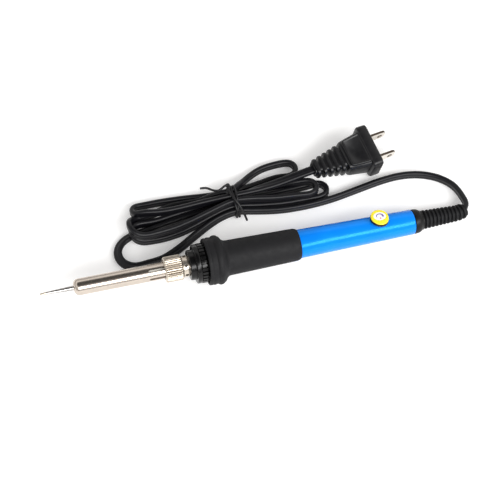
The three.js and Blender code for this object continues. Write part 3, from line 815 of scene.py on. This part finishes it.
def make_relief():
    """The ribbed strain relief, one profile swept along its bent centreline and into its mouth."""
    ribs, first_rib, rib_height = 11, 0.9, 1.15
    widest, taper = 5.1, 0.9
    pitch = (RELIEF_LENGTH - first_rib) / ribs
    profile = [(0.3, 2.6), (0.3, 4.6), (0.5, 4.75)]
    for i in range(ribs):
        d = first_rib + i * pitch
        r = widest - taper * i / ribs
        groove = r - rib_height
        profile += [
            (d, groove), (d + 0.08, r - 0.35), (d + 0.2, r - 0.1), (d + 0.42, r), (d + 0.78, r),
            (d + 1.0, r - 0.1), (d + 1.12, r - 0.35), (d + 1.2, groove),
        ]
    profile += [
        (RELIEF_LENGTH, 3.6), (RELIEF_LENGTH, 3.05), (RELIEF_LENGTH - 0.3, 2.8), (RELIEF_LENGTH - TUCK, 2.7),
    ]
    vertices, sides = [], 72
    for distance, radius in profile:
        centre, angle = relief_at(distance)
        across = Vector((-math.sin(angle), math.cos(angle), 0))
        for i in range(sides):
            turn = TURN * i / sides
            point = centre + (across * math.sin(turn) + Z * math.cos(turn)) * radius
            vertices.append(IRON @ (point * MM))
    faces = rings_to_faces(len(profile), sides)
    relief = new_object("relief_piece", vertices, faces, grip_rubber, "root")
    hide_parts("strain_relief")


# ---------------------------------------------------------------- temperature knob
POINTER_ANGLE = math.radians(-75)
POINTER_REACH = 0.13  # how far it is drawn out, as a share of the radius
KNOB_RADIUS = 4.7
SKIRT_RADIUS = 4.82
KNOB_TOP = 10.0  # heights are above the iron's axis
LABEL_TOP = 10.12
LABEL_HALVES = 3.35, 2.75


def knob_reach(angle, radius):
    """The knob's outline: a circle drawn out at its pointer, which points towards the front."""
    return radius * (1 + POINTER_REACH * max(0, math.cos(angle - POINTER_ANGLE)) ** 3)


def layered(name, levels, reach, sides, material):
    """A stack of outlines round the knob's axis. A level is (height, inset), and reach gives the radius."""
    vertices = []
    for height, inset in levels:
        for i in range(sides):
            angle = TURN * i / sides
            r = reach(angle) - inset
            vertices.append(KNOB @ (Vector((r * math.cos(angle), r * math.sin(angle), height)) * MM))
    return new_object(name, vertices, rings_to_faces(len(levels), sides), material, "knob")


def ellipse(a, b):
    """The radius of an ellipse, as a function of the angle."""
    return lambda angle: a * b / math.hypot(b * math.cos(angle), a * math.sin(angle))


def flat_mark(name, outline, height, material):
    """A printed mark: its outline raised a hair above the surface it is on."""
    sunk, raised = 0.05, 0.03
    vertices, faces = prism(outline, height - sunk, height + raised, KNOB)
    return new_object(name, vertices, faces, material, "knob")


def make_knob():
    knob = layered(
        "knob_piece",
        [
            (8.95, 0.5), (8.95, 0.12), (9.0, 0.03), (9.1, 0), (9.5, 0.02), (9.75, 0.10), (9.92, 0.28),
            (KNOB_TOP, 0.55), (KNOB_TOP, 1.2), (KNOB_TOP, 1.72),
        ],
        lambda angle: knob_reach(angle, KNOB_RADIUS), 96, yellow_plastic,
    )
    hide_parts("temperature_knob")
    skirt = layered(
        "skirt_piece",
        [
            (7.3, 2.6), (7.3, 0.35), (7.38, 0.12), (7.5, 0.02), (8.75, 0), (8.88, 0.06), (8.92, 0.2),
            (8.92, 1.2), (9.0, 1.3),
        ],
        lambda angle: knob_reach(angle, SKIRT_RADIUS), 96, black_plastic,
    )
    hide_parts("knob_skirt")
    label = layered(
        "label_piece", [(9.8, 0), (10.06, 0), (10.1, 0.05), (LABEL_TOP, 0.15), (LABEL_TOP, 1.4)],
        ellipse(*LABEL_HALVES), 72, label_white,
    )
    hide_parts("dial_label")
    make_dial_marks()


def make_dial_marks():
    """Ticks round the yellow ring, and a plain wedge that widens with the heat on the label."""
    ticks, gap, half_width = 11, 0.3, 0.09
    long_tick, short_tick = 0.6, 0.4
    for i in range(ticks):
        angle = math.radians(-150 + 30 * i)
        inner = ellipse(*LABEL_HALVES)(angle) + gap
        outer = inner + (long_tick if i % 5 == 0 else short_tick)
        direction = Vector((math.cos(angle), math.sin(angle)))
        across = Vector((-direction.y, direction.x)) * half_width
        corners = [
            direction * inner - across, direction * outer - across,
            direction * outer + across, direction * inner + across,
        ]
        flat_mark(f"dial_tick_{i + 1}", [tuple(c) for c in corners], KNOB_TOP, ink_dark)
    inner_edge, outer_edge = [], []
    radius, stretch, steps = 1.45, 1.2, 18
    for i in range(steps + 1):
        angle = math.radians(210 - 240 * i / steps)
        spread = 0.12 + 0.36 * i / steps
        for edge, reach in ((inner_edge, radius - spread), (outer_edge, radius + spread)):
            edge.append((reach * math.cos(angle) * stretch, reach * math.sin(angle)))
    flat_mark("dial_wedge", inner_edge + outer_edge[::-1], LABEL_TOP, ink_violet)
    flat_mark("dial_dot", circle(0.45, 16, (0, -1.5)), LABEL_TOP, ink_red)


# ---------------------------------------------------------------- plug
BLADE_OFFSET = 6.35  # of each blade's middle from the plug's axis


def lofted(name, sections):
    """A plug moulding through rounded rectangles: each section is (station, width, height, corner)."""
    vertices = []
    for station, width, height, corner in sections:
        outline = rounded_rect(width, height, corner)
        vertices += [PLUG @ (Vector((station, across, up)) * MM) for across, up in outline]
    return new_object(name, vertices, rings_to_faces(len(sections), len(outline)), plug_vinyl, "root")


def make_plug():
    body = lofted("plug_piece", [
        (0, 23.6, 13.6, 1.6), (-0.05, 24.6, 14.6, 2.0), (-0.35, 25.3, 15.3, 2.2), (-0.9, 25.6, 15.6, 2.3),
        (-5.0, 25.6, 15.6, 2.3), (-5.5, 25.4, 15.4, 2.2), (-5.9, 24.8, 14.9, 2.1), (-6.0, 24.1, 14.5, 2.1),
        (-6.2, 21.2, 12.8, 2.2), (-9, 20.5, 12.4, 2.4), (-14, 19.0, 11.6, 2.6), (-17.2, 18.0, 11.0, 2.7),
        (-18.1, 17.3, 10.6, 2.7), (-PLUG_BODY, 15.8, 9.9, 2.6), (-PLUG_BODY, 12.4, 8.6, 2.6),
        (-20, 12.2, 8.4, 2.6),
    ])
    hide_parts("plug_body")

    sections = []
    ribs, pitch = 5, 3.4
    for i in range(ribs):
        station = -PLUG_BODY - 2.4 - i * pitch
        width, height = 16 - i * 1.45, 9.6 - i * 0.45
        groove = width - 3.2, height - 1.6, 2.2
        edge = width - 0.7, height - 0.5, 2.3
        shoulder = width - 0.15, height - 0.1, 2.5
        crest = width, height, 2.5
        sections += [
            (station + 1.5, *groove), (station + 1.05, *groove), (station + 0.95, *edge),
            (station + 0.7, *shoulder), (station + 0.3, *crest), (station - 0.4, *crest),
            (station - 0.75, *shoulder), (station - 0.95, *edge), (station - 1.05, *groove),
        ]
    sections += [
        (-PLUG_LENGTH + 0.6, 7.6, 6.6, 2.2), (-PLUG_LENGTH + 0.15, 7.5, 6.4, 2.1),
        (-PLUG_LENGTH, 7.1, 6.0, 2.0), (-PLUG_LENGTH, 5.4, 3.4, 1.6), (-PLUG_LENGTH + 2, 5.3, 3.3, 1.6),
    ]
    relief = lofted("plug_relief", sections)
    pads = [make_plug_pad("plug_pad_top", 1), make_plug_pad("plug_pad_under", -1)]
    blades = []
    for side, node in ((1, "plug_blade_left"), (-1, "plug_blade_right")):
        blades.append(make_blade(side, node))
    return [body, relief, *pads, *blades]


def make_plug_pad(name, side):
    """The raised panel with soft rims on one of the body's broad faces, which slope toward the cord."""
    front, rear, front_half, rear_half = -5.3, -17.3, 9.5, 8.0
    length = front - rear
    levels = ((0, -0.9), (0, 0.35), (0.14, 0.75), (0.45, 1.05), (0.9, 1.1), (1.3, 0.85), (1.6, 0.6))
    vertices = []
    for inset, rise in levels:
        for x, y in rounded_rect(length - 2 * inset, 2 * (front_half - inset), 1.9 - inset):
            share = x / length + 0.5
            across = y * (rear_half + (front_half - rear_half) * share) / front_half
            up = 5.4 + 0.95 * share + rise
            vertices.append(PLUG @ (Vector((rear + length * share, across, side * up)) * MM))
    return new_object(name, vertices, rings_to_faces(len(levels), 24), plug_vinyl, "root", sharp=50)


def make_blade(side, node):
    """A flat blade with eased edges, a tapered end and a round hole."""
    reach, root, half, thick = 11.0, -6.8, 3.175, 0.75
    ease = 0.12
    hole_at, hole_radius = 7.6, 1.5
    outline = [(root, half), (reach - 1.6, half), (reach - 0.5, half - 0.7), (reach, half - 1.5)]
    outline += [(x, -z) for x, z in reversed(outline)]
    vertices = []
    for depth, inset in ((-thick, ease), (-thick + ease, 0), (thick - ease, 0), (thick, ease)):
        for x, z in outline:
            factor = 1 - inset / half
            corner = Vector((x - inset * (x > 0), side * BLADE_OFFSET + depth, z * factor))
            vertices.append(PLUG @ (corner * MM))
    blade = new_object(
        node + "_piece", vertices, rings_to_faces(4, len(outline)), blade_nickel, "root", sharp=25,
    )
    # The narrow edge faces get the dark metal, a painted dark reflection.
    blade.data.materials.append(blade_edge_painted_reflection)
    across = (PLUG.to_3x3() @ Y).normalized()
    for face in blade.data.polygons:
        face.material_index = int(abs(face.normal.dot(across)) < 0.5)
    hole_place = PLUG @ Matrix.Translation(Vector((hole_at, side * BLADE_OFFSET, 0)) * MM)
    hole_place = hole_place @ Matrix.Rotation(math.pi / 2, 4, "X")
    cut_with(blade, [prism_cutter(circle(hole_radius, 24), -2, 2, hole_place)])
    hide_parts(node)
    return blade


# ---------------------------------------------------------------- twist tie
def make_tie():
    """Two wraps of coated wire round the bundle, twisted on top, with two loose ends."""
    wire = 0.62
    on_floor = wire + 0.05
    front, rear = LOW[0][1] - 2.3, LOW[-1][1] + 2.3
    section = circle(wire, 12)
    pieces = []
    for name, lean in (("tie_wrap_a", -0.75), ("tie_wrap_b", 0.75)):
        x = TIE_X + lean
        loop = [
            (x, front + 2, on_floor), (x, front + 0.1, 1.6), (x, front, 4), (x - lean / 2, front + 0.7, 6.6),
            (x, 34.3, 9.6), (x, 35.2, 11.9), (x, 37.5, 12.5), (x + lean / 2, 40.5, 12.5), (x, 43.2, 12.4),
            (x, 45, 11.2), (x - lean / 2, 46.6, 8), (x, rear - 0.3, 5.6), (x, rear, 3), (x, rear - 0.4, 1.4),
            (x, rear - 2, on_floor), (x, 40, on_floor), (x, front + 2, on_floor),
        ]
        path = resampled(smoothed([Vector(p) * MM for p in catmull(loop)], 3), 0.7 * MM)
        pieces.append(tube(name, path, section, tie_plastic, "root"))
    knot_from, knot_to = Vector((-7.2, 39.8, 13.7)), Vector((-5.9, 45.2, 13.0))
    knot_turns, knot_steps = 1.8, 39
    for hand, name in ((0, "tie_twist_a"), (math.pi, "tie_twist_b")):
        twist = []
        for i in range(knot_steps + 1):
            t = i / knot_steps
            turn = hand + TURN * knot_turns * t
            off = Vector((math.cos(turn), math.cos(turn) * 0.4, math.sin(turn) * 0.8))
            twist.append(knot_from.lerp(knot_to, t) + off * wire)
        if hand:
            end = [
                (-8.5, 44.6, 12.7), (-11.5, 43.6, 11.7), (-14.5, 44.8, 11.4), (-17.5, 46.7, 12),
                (-21, 46.9, 12.6),
            ]
            twist += catmull([twist[-1], *end])[1:]
        else:
            end = [(-0.3, 26.2, 3.4), (-1.5, 28.9, 7.4), (-3.4, 32.4, 11.5), (-5.5, 35.9, 13.7)]
            twist = catmull([*end, twist[0]])[:-1] + twist
        path = resampled(smoothed([Vector(p) * MM for p in twist], 2), 0.5 * MM)
        pieces.append(tube(name, path, section, tie_plastic, "root"))
    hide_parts("twist_tie")
    return pieces


make_tip()
make_barrel()
make_nut()
make_collar()
make_base()
make_grip()
make_handle()
make_end_cap()
make_relief()
make_knob()
plug_pieces = make_plug()
tie_pieces = make_tie()


# ---------------------------------------------------------------- inner pieces that stay as they are
def dress(node, material):
    """Gives a frame node a finished material in place of its plain one."""
    mesh_object = frame["nodes"][node]
    mesh_object.data.materials.clear()
    mesh_object.data.materials.append(material)


INNER_LOOKS = {
    "heater_core": plastic("alumina", (0.86, 0.84, 0.78), 0.55, grain=1600),
    "heater_lead_a": plastic("glass_sleeving", (0.80, 0.76, 0.64), 0.8, grain=900, depth=0.0001),
    "circuit_board": plastic("solder_mask", (0.02, 0.17, 0.06), 0.35),
    "potentiometer_body": plastic("epoxy_black", (0.025, 0.025, 0.027), 0.5),
    "capacitor": plastic("capacitor_red", (0.36, 0.06, 0.03), 0.3),
    "resistor_1": plastic("resistor_tan", (0.60, 0.42, 0.24), 0.4),
    "diac": plastic("diac_orange", (0.62, 0.20, 0.05), 0.2),
    "live_wire": plastic("wire_brown", (0.16, 0.06, 0.02), 0.45),
    "neutral_wire": plastic("wire_blue", (0.03, 0.12, 0.50), 0.45),
}
SAME_LOOK = {
    "heater_lead_b": "heater_lead_a", "triac": "potentiometer_body", "resistor_2": "resistor_1",
    "potentiometer_shaft": "potentiometer_body",
}
for node, look in INNER_LOOKS.items():
    dress(node, look)
for node, like in SAME_LOOK.items():
    dress(node, INNER_LOOKS[like])
dress("cord_inside", cord_sheath)
dress("cord_clip", black_plastic)


# ---------------------------------------------------------------- floor and light
def make_floor():
    made = Shader("floor_white", (0.92, 0.92, 0.92), 0.9)
    made.set(**{"Specular IOR Level": 0.15, "Emission Color": (1, 1, 1, 1), "Emission Strength": 0.2})
    mesh = bpy.data.meshes.new("floor")
    half = 4.0
    corners = [(-half, -half, 0), (half, -half, 0), (half, half, 0), (-half, half, 0)]
    mesh.from_pydata(corners, [], [(0, 1, 2, 3)])
    floor = bpy.data.objects.new("floor", mesh)
    mesh.materials.append(made.material)
    scene.collection.objects.link(floor)


WORLD_STRENGTH = 1.15
WORLD_TINT = 1, 0.985, 0.97
# How bright the surroundings are, from straight below (0) over the horizon (0.5) to straight above (1).
WORLD_STOPS = [
    (0.0, 0.36), (0.06, 0.36), (0.1, 0.55), (0.5, 0.6), (0.6, 1.0), (0.78, 1.0), (0.88, 0.1), (1.0, 0.07),
]


def area_light(name, location, target, size, power):
    data = bpy.data.lights.new(name, "AREA")
    data.shape = "RECTANGLE"
    data.size, data.size_y = size
    data.energy = power
    light = bpy.data.objects.new(name, data)
    light.location = location
    light.rotation_mode = "QUATERNION"
    light.rotation_quaternion = (Vector(target) - Vector(location)).to_track_quat("-Z", "Y")
    scene.collection.objects.link(light)


def make_light():
    """White walls all round under a dark ceiling, and a long softbox in front."""
    world = bpy.data.worlds.new("studio")
    world.use_nodes = True
    nodes, links = world.node_tree.nodes, world.node_tree.links
    background = nodes["Background"]
    background.inputs["Strength"].default_value = WORLD_STRENGTH
    place = nodes.new("ShaderNodeTexCoord")
    parts = nodes.new("ShaderNodeSeparateXYZ")
    ramp = nodes.new("ShaderNodeValToRGB")
    links.new(place.outputs["Generated"], parts.inputs["Vector"])
    links.new(parts.outputs["Z"], ramp.inputs["Fac"])
    links.new(ramp.outputs["Color"], background.inputs["Color"])
    set_stops(ramp, [(at, tuple(grey * tint for tint in WORLD_TINT)) for at, grey in WORLD_STOPS])
    scene.world = world
    scene.view_settings.view_transform = "Standard"
    area_light("softbox_front", (0.25, -0.77, 0.65), (0, 0.01, 0), (1.5, 0.36), 15)


make_floor()
make_light()
